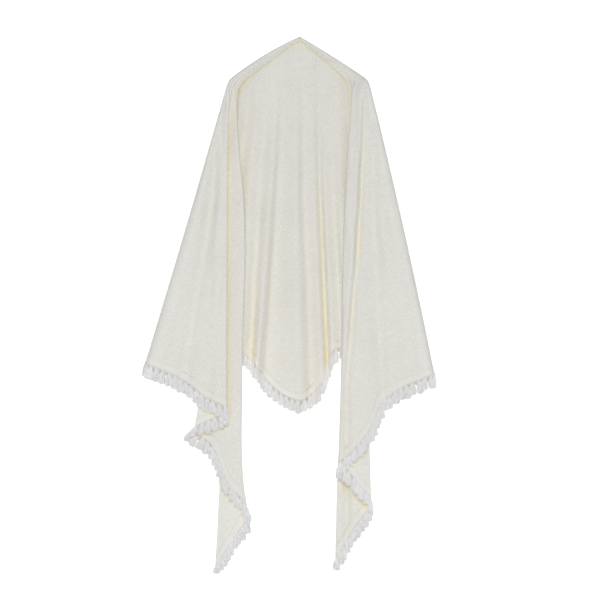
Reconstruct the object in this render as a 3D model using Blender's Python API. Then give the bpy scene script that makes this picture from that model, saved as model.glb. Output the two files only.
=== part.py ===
"""Shawl cloak with a tasselled hem, hanging open from its neck point and two slopes.

One large three-cornered cloth hangs with the middle of its long plain edge at the
neck. It lies over two slopes, turns forward at each side fold, and falls in front
in zigzag falls down to its two tips. A header tape with tassels runs along the
whole hem.

Frame: +X is the viewer's right, -Y is the front, +Z is up, and the origin is the
neck point, where the cloth is held. The tables are in centimetres: "across" is the
distance from the centre line, "drop" is how far a point lies below the neck, and
"depth" is how far it lies behind the neck. Left and right are the viewer's.
"""

import math
from collections import namedtuple

import bpy
import numpy as np

CM = 0.01
WALL = 0.20            # the cloth is thick and spongy
SEAM_GAP = 0.03        # between the pieces
TRIM_GAP = 0.07        # between the cloth's edge and its tape
TAPE_WIDTH = 1.7       # header tape, across its length
TAPE_WALL = 0.24
STEEPEST_HEM = 0.34    # cosine of the hem's slope, past which the tape narrows
TASSEL_LENGTH = 4.3
TASSEL_LEAN = 0.5      # sideways share of a tassel's direction on an upright hem
TIP_TASSEL = {"left": 0.62, "right": 1.0}  # share of the full length at the tip
TIP_REACH = 4.0        # how far from the tip the tassels have their full length
TASSEL_PITCH = 2.05    # along the hem
ROOT_WIDTH = 0.55      # where a tassel leaves the tape
BRUSH_WIDTH = 1.45     # at a tassel's loose end
BRUSH_DEPTH = 0.62

NECK_DEPTH = 0.7       # the fronts' quarter turn over the neck
NECK_DROP = 1.1
STRIP_ROLL = 0.35      # share of the strip on the slope that rolls over its crest
STRIP_END = 7.0        # the plain strip turns into folds between these drops
FOLDS_START = 17.0
SHOULDER_DROP = 14.0   # where the slopes end and the falls begin

# The slope rises to the neck as drop = rise * across + bend * across squared.
# The flank is the side below it: across = start + flare * drop + bow * drop squared.
# The corner between them is rounded off by `round` centimetres.
Outline = namedtuple("Outline", "sign rise bend start flare bow round")
OUTLINES = {
    "left": Outline(-1, 0.430, 0.00815, 18.03, 0.2786, 0.00013, 0.30),
    "right": Outline(1, 0.586, 0.00230, 17.50, 0.2556, -0.00028, 0.40),
}

# Where each fold line runs. Above the shoulder it is a share of the outline's
# reach, at the neck and 8 cm below it. From there down it is the distance across,
# in centimetres, at each of FOLD_DROPS.
FOLD_DROPS = (16, 30, 50, 105, 135, 150, 165)
Fold = namedtuple("Fold", "neck slope d16 d30 d50 d105 d135 d150 d165")
FOLDS = {
    "left": {
        "front_turn": Fold(0.86, 0.92, 21.4, 21.8, 22.0, 22.2, 22.2, 22.2, 22.2),
        "hidden_turn": Fold(0.70, 0.82, 20.6, 22.8, 24.6, 29.7, 34.0, 34.5, 35.0),
        "inner_turn": Fold(0.52, 0.74, 19.5, 18.9, 17.1, 17.6, 17.2, 15.2, 14.8),
        "plain_edge": Fold(0.45, 0.69, 18.9, 19.5, 20.3, 23.2, 24.4, 25.1, 26.0),
    },
    "right": {
        "front_turn": Fold(0.80, 0.84, 15.9, 14.9, 13.7, 12.4, 11.6, 11.4, 11.4),
        "hidden_turn": Fold(0.60, 0.76, 15.4, 17.0, 18.2, 20.5, 21.3, 21.7, 22.0),
        "plain_edge": Fold(0.42, 0.68, 14.9, 15.6, 14.9, 13.1, 11.3, 10.9, 10.6),
    },
}

# How deep each layer of cloth lies, in centimetres at each of LAYER_DROPS.
LAYER_DROPS = (0, 8, 16, 50, 105, 165)
Layer = namedtuple("Layer", "d0 d8 d16 d50 d105 d165")
CREST = Layer(0, 0, -0.2, -0.6, -1.0, -1.0)
BACK = Layer(0.7, 1.3, 1.9, 3.4, 4.8, 5.2)
LAYERS = {
    "left": {
        "outer_fall": Layer(-0.7, -1.4, -2.7, -4.7, -6.8, -7.0),
        "return_fold": Layer(-0.7, -1.3, -2.1, -3.5, -5.0, -5.4),
        "inner_fall": Layer(-0.7, -1.2, -1.5, -2.3, -3.2, -3.8),
        "tail_fold": Layer(-0.7, -1.1, -0.9, -1.0, -1.3, -2.0),
    },
    "right": {
        "outer_fall": Layer(-0.7, -1.4, -2.5, -4.5, -6.3, -6.8),
        "return_fold": Layer(-0.7, -1.3, -1.8, -2.9, -4.3, -4.9),
        "inner_fall": Layer(-0.7, -1.2, -1.1, -1.3, -2.3, -3.0),
    },
}

# The front's section from the side fold to the plain edge. Each corner is a fold
# line and a layer, the reach of its rounding, and the cells of the rounding and of
# the straight stretch that follows it.
Corner = namedtuple("Corner", "fold layer roll turn_cells run_cells")
CORNERS = {
    "left": (
        Corner("outline", "crest", 0.0, 0, 0),
        Corner("outline", "outer_fall", 4.8, 4, 7),
        Corner("front_turn", "outer_fall", 1.4, 2, 0),
        Corner("front_turn", "return_fold", 1.2, 2, 3),
        Corner("hidden_turn", "return_fold", 1.2, 2, 0),
        Corner("hidden_turn", "inner_fall", 1.4, 2, 6),
        Corner("inner_turn", "inner_fall", 1.4, 2, 0),
        Corner("inner_turn", "tail_fold", 1.2, 2, 4),
        Corner("plain_edge", "tail_fold", 0.0, 0, 0),
    ),
    "right": (
        Corner("outline", "crest", 0.0, 0, 0),
        Corner("outline", "outer_fall", 4.8, 4, 12),
        Corner("front_turn", "outer_fall", 1.6, 2, 0),
        Corner("front_turn", "return_fold", 1.2, 2, 4),
        Corner("hidden_turn", "return_fold", 1.2, 2, 0),
        Corner("hidden_turn", "inner_fall", 1.4, 2, 5),
        Corner("plain_edge", "inner_fall", 0.0, 0, 0),
    ),
}

# The lower edge of the trim's tape along the front's layers.
HemPoint = namedtuple("HemPoint", "layer across drop")
FRONT_HEM = {
    "left": (
        HemPoint("outer_fall", 43.1, 100.1),
        HemPoint("outer_fall", 38.0, 102.4),
        HemPoint("outer_fall", 34.7, 104.3),
        HemPoint("outer_fall", 31.4, 106.7),
        HemPoint("outer_fall", 28.8, 109.0),
        HemPoint("outer_fall", 22.8, 111.9),
        HemPoint("return_fold", 22.6, 113.8),
        HemPoint("return_fold", 26.3, 115.6),
        HemPoint("return_fold", 30.3, 117.4),
        HemPoint("inner_fall", 32.2, 120.2),
        HemPoint("inner_fall", 29.3, 121.4),
        HemPoint("inner_fall", 26.8, 123.6),
        HemPoint("inner_fall", 25.2, 126.0),
        HemPoint("inner_fall", 23.6, 131.6),
        HemPoint("inner_fall", 21.9, 135.0),
        HemPoint("inner_fall", 19.1, 139.2),
        HemPoint("inner_fall", 16.3, 143.0),
        HemPoint("tail_fold", 16.2, 146.6),
        HemPoint("tail_fold", 18.2, 149.0),
        HemPoint("tail_fold", 20.1, 152.0),
        HemPoint("tail_fold", 22.2, 154.8),
        HemPoint("tail_fold", 23.4, 157.6),
        HemPoint("tail_fold", 25.6, 161.0),
    ),
    "right": (
        HemPoint("outer_fall", 37.9, 103.0),
        HemPoint("outer_fall", 34.8, 104.4),
        HemPoint("outer_fall", 30.0, 106.5),
        HemPoint("outer_fall", 28.0, 107.9),
        HemPoint("outer_fall", 25.2, 109.9),
        HemPoint("outer_fall", 23.7, 112.6),
        HemPoint("outer_fall", 21.6, 118.3),
        HemPoint("outer_fall", 18.4, 122.8),
        HemPoint("outer_fall", 15.2, 126.1),
        HemPoint("outer_fall", 12.4, 128.8),
        HemPoint("return_fold", 12.4, 130.0),
        HemPoint("return_fold", 16.0, 133.0),
        HemPoint("return_fold", 18.8, 136.8),
        HemPoint("return_fold", 20.5, 139.2),
        HemPoint("inner_fall", 20.9, 141.4),
        HemPoint("inner_fall", 18.8, 145.8),
        HemPoint("inner_fall", 15.8, 149.7),
        HemPoint("inner_fall", 12.9, 155.0),
        HemPoint("inner_fall", 10.8, 158.6),
    ),
}
SIDE_HEM_DROP = {"left": 98.6, "right": 101.8}

# Soft troughs (forward depth above 0) and swells (below 0) of the outer falls.
Swell = namedtuple("Swell", "side d16 d50 d105 depth width")
SWELLS = (
    Swell("left", 23.2, 24.4, 25.2, -0.6, 1.6),
    Swell("left", 23.9, 26.8, 35.4, 1.0, 2.2),
    Swell("left", 25.6, 29.8, 40.2, -0.7, 2.4),
    Swell("right", 19.8, 18.4, 14.8, 1.0, 0.9),
    Swell("right", 22.4, 22.3, 24.8, 0.9, 1.9),
    Swell("right", 23.0, 25.8, 31.4, -0.7, 2.6),
)

# The back's folds from left to right: where each lies on the slope, 50 cm and
# 105 cm below the neck, and its height there, forward below 0 and back above 0.
BackFold = namedtuple("BackFold", "name on_slope d50 d105 height")
BACK_FOLDS = (
    BackFold("left_swell_5", -18.9, -27.6, -40.4, -1.6),
    BackFold("left_trough_4", -17.2, -24.8, -35.6, 2.6),
    BackFold("left_swell_4", -15.6, -22.0, -30.2, -2.6),
    BackFold("left_trough_3", -13.8, -19.2, -24.6, 2.8),
    BackFold("left_swell_3", -12.0, -16.0, -19.0, -2.2),
    BackFold("left_trough_2", -9.4, -13.0, -16.0, 1.0),
    BackFold("left_swell_1", -6.2, -8.9, -13.6, -1.7),
    BackFold("left_trough_1", -4.2, -6.4, -9.8, 0.9),
    BackFold("middle_swell", -1.4, -0.9, -0.4, -1.8),
    BackFold("right_trough_1", 0.8, 1.7, 4.0, 0.6),
    BackFold("right_swell_1", 3.0, 4.2, 6.2, -1.0),
    BackFold("deep_pleat", 5.2, 6.3, 8.6, 3.0),
    BackFold("right_swell_2", 7.2, 8.6, 11.0, -1.2),
    BackFold("right_trough_3", 9.0, 10.6, 13.2, 0.9),
    BackFold("right_swell_3", 11.8, 13.0, 15.8, -2.0),
    BackFold("right_trough_4", 14.2, 16.8, 20.4, 2.8),
    BackFold("right_swell_4", 15.8, 20.0, 25.6, -2.6),
    BackFold("right_trough_5", 17.4, 22.8, 30.6, 2.6),
    BackFold("right_swell_5", 18.8, 25.2, 35.2, -1.6),
)
BACK_HEM = (
    (-38.0, 97.6), (-28.9, 96.0), (-20.7, 94.8), (-17.6, 95.4), (-15.4, 97.4),
    (-13.2, 100.2), (-10.6, 103.8), (-8.0, 106.6), (-4.8, 109.0), (-0.4, 110.6),
    (2.0, 109.8), (4.2, 107.8), (6.0, 105.8), (7.3, 103.2), (8.5, 99.4), (9.9, 95.4),
    (12.8, 93.9), (19.8, 95.0), (28.9, 98.0), (36.5, 100.4),
)
CELLS_PER_FOLD = 3

# Rows: shares of the slope's drop, and shares of the fall from there to the hem.
SLOPE_ROWS = (0, 0.16, 0.34, 0.52, 0.68, 0.82, 0.92)
FALL_ROWS = (
    0, 0.008, 0.02, 0.04, 0.075, 0.13, 0.2, 0.29, 0.39, 0.49, 0.59, 0.69, 0.79,
    0.89, 1,
)

# The wall's direction on the ridge at the neck, where the two slopes meet at 30
# degrees, long enough to keep the wall's thickness there.
STRAIGHT_UP = np.array([0, 0, 1 / math.cos(math.radians(30))])

IVORY = (0.80, 0.77, 0.68)
TRIM_WHITE = (0.80, 0.80, 0.77)


def along(levels, values, at):
    """Value at each drop in `at`, on a smooth curve through the named levels."""
    levels = np.asarray(levels, float)
    values = np.asarray(values, float)
    slopes = np.gradient(values, levels)
    k = np.clip(np.searchsorted(levels, at) - 1, 0, len(levels) - 2)
    step = levels[k + 1] - levels[k]
    t = np.clip((at - levels[k]) / step, 0, 1)
    return (
        (2 * t**3 - 3 * t**2 + 1) * values[k]
        + (t**3 - 2 * t**2 + t) * step * slopes[k]
        + (3 * t**2 - 2 * t**3) * values[k + 1]
        + (t**3 - t**2) * step * slopes[k + 1]
    )


def reach(side, drop):
    """Half width of the outline: the slope and the flank with a rounded corner."""
    o = OUTLINES[side]
    slope = (np.sqrt(o.rise**2 + 4 * o.bend * drop) - o.rise) / (2 * o.bend)
    flank = o.start + o.flare * drop + o.bow * drop**2
    half_gap = (slope - flank) / 2
    rounded = (slope + flank) / 2 - np.sqrt(half_gap**2 + o.round**2)
    return np.maximum(rounded, 0)


def fold_across(side, name, drop):
    """Distance across of a fold line at each drop."""
    if name == "outline":
        return reach(side, drop)
    fold = FOLDS[side][name]
    level = FOLD_DROPS[0]
    share = np.interp(
        drop, (0, 8, level), (fold.neck, fold.slope, fold.d16 / reach(side, level))
    )
    below = along(FOLD_DROPS, fold[2:], drop)
    return np.where(drop < level, share * reach(side, drop), below)


def layer_depth(side, name, drop):
    layer = CREST if name == "crest" else LAYERS[side][name]
    return along(LAYER_DROPS, layer, drop)


def corner_point(side, k, drop):
    corner = CORNERS[side][k]
    across = fold_across(side, corner.fold, drop)
    return np.stack([across, layer_depth(side, corner.layer, drop)], -1)


def turn_ends(side, k, drop):
    """The corner, and where its rounding starts and ends, at each drop."""
    here = corner_point(side, k, drop)
    corners = CORNERS[side]
    ends = []
    for step in (-1, 1):
        other = corner_point(side, k + step, drop)
        length = np.linalg.norm(other - here, axis=-1) + 1e-9
        cut = length if k + step == 0 else np.minimum(corners[k].roll, length / 2)
        ends.append(here + (other - here) * (cut / length)[..., None])
    return here, ends[0], ends[1]


TURN = 0.25  # a corner's rounding takes this much of s on each side of it


def front_section(side, s, drop):
    """Across and depth of the columns s (corner number and part) at each drop."""
    count = len(CORNERS[side])
    point = np.zeros(drop.shape + (2,))
    for k in range(1, count - 1):
        here, start, end = turn_ends(side, k, drop)
        u = ((s - k + TURN) / (2 * TURN))[..., None]
        turned = (1 - u) ** 2 * start + 2 * u * (1 - u) * here + u**2 * end
        point = np.where((np.abs(s - k) <= TURN)[..., None], turned, point)
        if k == count - 2:
            after, span = corner_point(side, k + 1, drop), 1 - TURN
        else:
            after, span = turn_ends(side, k + 1, drop)[1], 1 - 2 * TURN
        f = ((s - k - TURN) / span)[..., None]
        straight = end + (after - end) * f
        inside = (s > k + TURN) & (s < k + TURN + span + 1e-9)
        point = np.where(inside[..., None], straight, point)
    return point


def swell_depth(side, s, across, drop):
    """Depth that the soft troughs and swells add to the outer fall."""
    on_fall = np.clip((s - 0.8) / 0.3, 0, 1) * np.clip((2.1 - s) / 0.3, 0, 1)
    growth = np.clip((drop - SHOULDER_DROP) / 60, 0, 1) ** 0.7
    total = 0
    for swell in SWELLS:
        if swell.side == side:
            middle = along((16, 50, 105), swell[1:4], drop)
            width = swell.width * (0.4 + 0.6 * growth)
            total = total + swell.depth * np.exp(-(((across - middle) / width) ** 2))
    return total * growth * on_fall


def slope_strip(side, s, drop):
    """Across and depth where the cloth lies over the slope as one plain strip."""
    corners = CORNERS[side]
    share = (s - 1 + TURN) / (len(corners) - 2 + TURN)
    outer, edge = reach(side, drop), fold_across(side, "plain_edge", drop)
    front = layer_depth(side, corners[1].layer, drop)
    inner = layer_depth(side, corners[-1].layer, drop)
    crest = layer_depth(side, "crest", drop)
    rounding = np.sqrt(1 - (1 - np.clip(share / STRIP_ROLL, 0, 1)) ** 2)
    depth = crest + (front + (inner - front) * share - crest) * rounding
    return outer + (edge - outer) * share, depth


def front_points(side, s, drop):
    """Points of a front in centimetres, for matching arrays of s and drop."""
    section = front_section(side, s, drop)
    across, depth = section[..., 0], section[..., 1]
    depth = depth + swell_depth(side, s, across, drop)
    strip_across, strip_depth = slope_strip(side, s, drop)
    t = np.clip((drop - STRIP_END) / (FOLDS_START - STRIP_END), 0, 1)
    folded = t * t * (3 - 2 * t)
    across = strip_across + (across - strip_across) * folded
    depth = strip_depth + (depth - strip_depth) * folded
    return np.stack([OUTLINES[side].sign * across, depth, -drop], -1)


def front_columns(side):
    """Values of s of a front's columns, from the side fold to the plain edge."""
    corners = CORNERS[side]
    columns = [1 - TURN]
    for k in range(1, len(corners) - 1):
        cells = corners[k].turn_cells
        columns += [k - TURN + 2 * TURN * i / cells for i in range(1, cells + 1)]
        last = k == len(corners) - 2
        span = 1 - TURN if last else 1 - 2 * TURN
        runs = corners[k].run_cells
        columns += [k + TURN + span * i / runs for i in range(1, runs + 1)]
    return np.array(columns)


def front_hem(side, s):
    """Drop of the tape's lower edge at each column of a front."""
    layers = [c.layer for c in CORNERS[side]]
    known_s, known_drop = [1 - TURN], [SIDE_HEM_DROP[side]]
    for point in FRONT_HEM[side]:
        k = layers.index(point.layer)
        fine = np.linspace(k, min(k + 1, len(layers) - 1), 101)
        across = front_section(side, fine, np.full(fine.shape, point.drop))[:, 0]
        order = np.argsort(across)
        known_s.append(float(np.interp(point.across, across[order], fine[order])))
        known_drop.append(point.drop)
    return np.interp(s, known_s, known_drop)


def back_fold_across(index, drop):
    """Where fold line `index` of the back lies; the first and last are the sides."""
    if index == 0:
        return -reach("left", drop)
    if index == len(BACK_FOLDS) + 1:
        return reach("right", drop)
    fold = BACK_FOLDS[index - 1]
    top = (0, 50, 105, 165)
    below = fold.d105 + (fold.d105 - fold.d50) * 60 / 55
    return along(top, (fold.on_slope, fold.d50, fold.d105, below), drop)


def back_points(s, drop):
    """Points of the back in centimetres; s counts the folds from the left side."""
    across = np.zeros(drop.shape)
    height = np.zeros(drop.shape)
    heights = [0.0] + [fold.height for fold in BACK_FOLDS] + [0.0]
    for k in range(len(heights) - 1):
        inside = (s >= k) & (s <= k + 1)
        f = s - k
        low, high = back_fold_across(k, drop), back_fold_across(k + 1, drop)
        ease = (1 - np.cos(np.pi * np.clip(f, 0, 1))) / 2
        across = np.where(inside, low + (high - low) * f, across)
        height = np.where(inside, heights[k] + (heights[k + 1] - heights[k]) * ease, height)
    growth = np.clip((drop - SHOULDER_DROP) / (105 - SHOULDER_DROP), 0, 1.1) ** 0.9
    depth = along(LAYER_DROPS, BACK, drop) + height * growth
    crest = along(LAYER_DROPS, CREST, drop)
    edge = np.where(across < 0, reach("left", drop) + across, reach("right", drop) - across)
    t = np.clip(edge / (1.6 + 0.03 * drop), 0, 1)
    depth = crest + (depth - crest) * np.sqrt(1 - (1 - t) ** 2)
    return np.stack([across, depth, -drop], -1)


def back_columns():
    steps = (len(BACK_FOLDS) + 1) * CELLS_PER_FOLD
    return np.arange(steps + 1) / CELLS_PER_FOLD


def back_hem(s):
    """Drop of the tape's lower edge at each column of the back."""
    known_s, known_drop = [0.0], [SIDE_HEM_DROP["left"]]
    count = len(BACK_FOLDS) + 2
    for across, drop in BACK_HEM:
        lines = [float(back_fold_across(k, np.array(float(drop)))) for k in range(count)]
        known_s.append(float(np.interp(across, lines, range(count))))
        known_drop.append(drop)
    known_s.append(count - 1.0)
    known_drop.append(SIDE_HEM_DROP["right"])
    return np.interp(s, known_s, known_drop)


def hem_cosine(points):
    """Cosine of a hem line's slope, by which the tape keeps its width."""
    step = np.gradient(points, axis=0)
    flat = np.hypot(step[:, 0], step[:, 1])
    cosine = flat / (np.linalg.norm(step, axis=1) + 1e-9)
    padded = np.pad(cosine, 1, mode="edge")
    return np.maximum((padded[:-2] + 2 * cosine + padded[2:]) / 4, STEEPEST_HEM)


def drop_at(side, across):
    """Drop at which the outline reaches a distance across."""
    fine = np.linspace(0, 120, 4801)
    return np.interp(across, reach(side, fine), fine)


def side_drops(hem):
    """Drops of a front's rows: down the slope, then on to the hem."""
    slope = [SHOULDER_DROP * share for share in SLOPE_ROWS]
    rows = [np.full(hem.shape, drop) for drop in slope]
    rows += [SHOULDER_DROP + (hem - SHOULDER_DROP) * share for share in FALL_ROWS]
    return np.array(rows)


def outline_normal(side, drop):
    """Unit direction that points out of the side fold, in the plane of the view."""
    o = OUTLINES[side]
    widen = (reach(side, drop + 0.01) - reach(side, np.maximum(drop - 0.01, 0))) / (
        0.01 + np.minimum(drop, 0.01)
    )
    normal = np.stack([np.full(drop.shape, float(o.sign)), 0 * drop, widen], -1)
    normal /= np.linalg.norm(normal, axis=-1)[..., None]
    return np.where((drop < 0.01)[..., None], STRAIGHT_UP, normal)


def grid_normals(points):
    """Unit normals of a grid of points."""
    across = np.gradient(points, axis=1)
    down = np.gradient(points, axis=0)
    normal = np.cross(across, down)
    return normal / (np.linalg.norm(normal, axis=-1)[..., None] + 1e-12)


def volume(vertices, faces):
    """Signed volume of a closed body of four-sided faces."""
    corners = np.asarray(vertices)[np.asarray(faces)]
    a, b, c, d = (corners[:, i] for i in range(4))
    return float((a * np.cross(b, c)).sum() + (a * np.cross(c, d)).sum()) / 6


def make_piece(name, vertices, faces, colour, roughness):
    if volume(vertices, faces) < 0:
        faces = [face[::-1] for face in faces]
    mesh = bpy.data.meshes.new(name)
    mesh.from_pydata([tuple(v) for v in np.asarray(vertices) * CM], [], faces)
    mesh.validate()
    material = bpy.data.materials.new(name)
    material.use_nodes = True
    shader = material.node_tree.nodes["Principled BSDF"]
    shader.inputs["Base Color"].default_value = (*colour, 1)
    shader.inputs["Roughness"].default_value = roughness
    shader.inputs["Metallic"].default_value = 0
    mesh.materials.append(material)
    mesh.shade_smooth()
    thing = bpy.data.objects.new(name, mesh)
    cloak.objects.link(thing)
    return thing


def wall(points, normals):
    """A closed wall around a grid of points, half its thickness to each side."""
    rows, columns = points.shape[:2]
    outer = points + normals * WALL / 2
    inner = points - normals * WALL / 2
    vertices = np.concatenate([outer.reshape(-1, 3), inner.reshape(-1, 3)])
    ids = np.arange(rows * columns).reshape(rows, columns)
    a, b, c, d = ids[:-1, :-1], ids[:-1, 1:], ids[1:, 1:], ids[1:, :-1]
    shift = rows * columns
    faces = np.stack([a, b, c, d], -1).reshape(-1, 4).tolist()
    faces += (np.stack([d, c, b, a], -1).reshape(-1, 4) + shift).tolist()
    rim = np.concatenate([ids[0, ::-1], ids[1:, 0], ids[-1, 1:], ids[-2:0:-1, -1]])
    after = np.roll(rim, -1)
    faces += np.stack([rim, after, after + shift, rim + shift], -1).tolist()
    return vertices, faces


def tassel(vertices, faces, root, sway, length):
    """A four-sided brush that leaves the tape at the face `root`."""
    corners = np.array([vertices[i] for i in root])
    middle = corners.mean(0)
    wide = corners[1] - corners[0]
    down = np.array([sway[0], sway[1], sway[2]])
    down /= np.linalg.norm(down)
    wide = wide - down * (wide @ down)
    wide /= np.linalg.norm(wide)
    deep = np.cross(down, wide)
    if deep @ (corners[3] - corners[0]) < 0:
        deep = -deep
    ring = list(root)
    for share, width, depth in ((0.42, 0.92, 1.0), (1.0, 1.0, 0.8)):
        at = middle + down * length * share
        w, d = wide * BRUSH_WIDTH * width / 2, deep * BRUSH_DEPTH * depth / 2
        new = [len(vertices) + i for i in range(4)]
        vertices += [at - w - d, at + w - d, at + w + d, at - w + d]
        for i in range(4):
            j = (i + 1) % 4
            faces.append([ring[i], ring[j], new[j], new[i]])
        ring = new
    faces.append(ring)


def fringe(top, low, normals, at_tip=1.0):
    """The tape between the cloth's edge and its own, with tassels along it. Towards
    the end of the line they shorten to the share `at_tip`."""
    lengths = np.linalg.norm(np.diff(low, axis=0), axis=1)
    tops, lows, outs, rooted = [top[0]], [low[0]], [normals[0]], []
    carried = TASSEL_PITCH / 2
    for i, length in enumerate(lengths):
        carried += length
        count = int(carried // TASSEL_PITCH)
        if length < 1.5 * ROOT_WIDTH:
            count = 0
        carried -= count * TASSEL_PITCH
        cuts = []
        for k in range(count):
            middle = (k + 0.5) / count
            half = ROOT_WIDTH / 2 / length
            cuts += [(middle - half, False), (middle + half, True)]
        for f, root in cuts + [(1.0, False)]:
            tops.append(top[i] + (top[i + 1] - top[i]) * f)
            lows.append(low[i] + (low[i + 1] - low[i]) * f)
            outs.append(normals[i] + (normals[i + 1] - normals[i]) * f)
            rooted.append(root)
    tops, lows, outs = np.array(tops), np.array(lows), np.array(outs)
    half = outs * TAPE_WALL / 2
    n = len(tops)
    rings = np.stack([tops + half, lows + half, lows - half, tops - half], 1)
    vertices = list(rings.reshape(-1, 3))
    faces = [[0, 1, 2, 3], [4 * n - 1, 4 * n - 2, 4 * n - 3, 4 * n - 4]]
    number = 0
    for i, root in enumerate(rooted):
        p, q = 4 * i, 4 * i + 4
        for k in (0, 2, 3):
            j = (k + 1) % 4
            faces.append([p + k, q + k, q + j, p + j])
        foot = [p + 1, q + 1, q + 2, p + 2]
        if not root:
            faces.append(foot)
            continue
        number += 1
        out = (lows[i] + lows[i + 1] - tops[i] - tops[i + 1]) / 2
        edge = lows[i + 1] - lows[i]
        edge = edge / np.linalg.norm(edge)
        out = out - edge * (out @ edge)
        out = out / np.linalg.norm(out)
        sway = np.array([0, 0, -1.0]) + 0.10 * math.sin(2.4 * number) * edge
        sway[:2] += TASSEL_LEAN * out[:2]
        to_tip = np.linalg.norm(lows[-1] - lows[i]) / TIP_REACH
        length = TASSEL_LENGTH * (1 + 0.08 * math.sin(1.7 * number))
        length *= at_tip + (1 - at_tip) * min(to_tip, 1)
        tassel(vertices, faces, foot, sway, length)
    return np.array(vertices), faces


def neck_fold(side, count):
    """Points and normals of the quarter turn over the neck, where the fronts meet."""
    turn = np.linspace(0, math.pi / 2, count)
    beside = np.full(count, OUTLINES[side].sign * SEAM_GAP / 2)
    points = [beside, -NECK_DEPTH * np.sin(turn), -NECK_DROP * (1 - np.cos(turn))]
    normals = [0 * turn, -np.sin(turn), np.cos(turn) * STRAIGHT_UP[2]]
    return np.stack(points, -1), np.stack(normals, -1)


def front_piece(side):
    """A front and its fringe, and the drops of its side fold for the back."""
    s = front_columns(side)
    low_drop = front_hem(side, s)
    low = front_points(side, s, low_drop)
    cosine = hem_cosine(low)
    edge_drop = low_drop - TAPE_WIDTH / cosine
    edge_drop[0] = SIDE_HEM_DROP[side] - TAPE_WIDTH
    drops = side_drops(edge_drop)
    points = front_points(side, np.broadcast_to(s, drops.shape), drops)
    normals = grid_normals(points)
    normals[:, 0] = outline_normal(side, drops[:, 0])
    if normals[4, 0] @ normals[4, 1] < 0:
        normals[1:, 1:] *= -1
    points[0], normals[0] = neck_fold(side, len(s))
    points[:, 0, 1] -= SEAM_GAP / 2
    make_piece("cloth_front_" + side, *wall(points, normals), IVORY, 0.95)
    top = front_points(side, s, edge_drop + TRIM_GAP / cosine)
    top[0, 1] -= SEAM_GAP / 2
    low[0, 1] -= SEAM_GAP / 2
    trim = fringe(top, low, normals[-1], TIP_TASSEL[side])
    make_piece("fringe_front_" + side, *trim, TRIM_WHITE, 0.9)
    return drops[:, 0]


def back_piece(side_fold):
    """The back and its fringe, between the side folds' drops on both sides."""
    s = back_columns()
    low_drop = back_hem(s)
    low = back_points(s, low_drop)
    cosine = hem_cosine(low)
    edge_drop = low_drop - TAPE_WIDTH / cosine
    edge_drop[[0, -1]] = side_fold["left"][-1], side_fold["right"][-1]
    fold_top = np.zeros(len(s))
    for _ in range(40):
        across = np.abs(back_points(s, fold_top)[:, 0])
        fold_top = np.where(s < s[-1] / 2, drop_at("left", across), drop_at("right", across))
    inner = (s >= 1) & (s <= s[-1] - 1)
    known = np.concatenate([[SHOULDER_DROP], fold_top[inner], [SHOULDER_DROP]])
    top_drop = np.interp(s, np.concatenate([[0], s[inner], [s[-1]]]), known)
    drops = np.array([top_drop + (edge_drop - top_drop) * share for share in FALL_ROWS])
    points = back_points(np.broadcast_to(s, drops.shape), drops)
    normals = grid_normals(points)
    middle = int(np.argmin(np.abs(points[0, :, 0])))
    for side, part in (("left", slice(0, middle)), ("right", slice(middle, None))):
        slope = side_fold[side][: len(SLOPE_ROWS) + 1]
        line = reach(side, slope)
        across = reach(side, top_drop[part])
        sign = OUTLINES[side].sign
        points[0, part, 0] = sign * across
        points[0, part, 2] = -np.interp(across, line, slope)
        crest = along(LAYER_DROPS, CREST, slope)
        points[0, part, 1] = np.interp(across, line, crest)
        normals[0, part] = outline_normal(side, top_drop[part])
    normals[:, 0] = outline_normal("left", drops[:, 0])
    normals[:, -1] = outline_normal("right", drops[:, -1])
    normals[0, middle] = STRAIGHT_UP
    points[0, :, 1] += SEAM_GAP / 2
    points[1:, [0, -1], 1] += SEAM_GAP / 2
    if normals[5, middle, 1] < 0:
        normals[1:, 1:-1] *= -1
    make_piece("cloth_back", *wall(points, normals), IVORY, 0.95)
    top = back_points(s, edge_drop + TRIM_GAP / cosine**2)
    top[[0, -1], 1] += SEAM_GAP / 2
    low[[0, -1], 1] += SEAM_GAP / 2
    make_piece("fringe_back", *fringe(top, low, normals[-1]), TRIM_WHITE, 0.9)


for thing in list(bpy.data.objects):
    bpy.data.objects.remove(thing)
cloak = bpy.data.collections.new("shawl_cloak")
bpy.context.scene.collection.children.link(cloak)

back_piece({side: front_piece(side) for side in ("left", "right")})
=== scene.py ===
# %% [markdown]
# # A shawl cloak with a tasselled hem
#
# The real thing is one large three-cornered cloth in a soft ivory weave. The middle
# of its long plain edge is held at the neck, it lies over two slopes like shoulders,
# and its two tips hang down in front in zigzag falls. A narrow header tape with
# bunches of soft yarn runs along the two short sides.
#
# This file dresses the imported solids. Each cell works out one piece as a surface
# with numpy, then gives it to Blender as a mesh. Lengths in the tables are in
# centimetres: "across" from the centre line, "drop" down from the neck, "depth"
# backwards from the neck. Left and right are the viewer's.

import math
from collections import namedtuple

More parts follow.
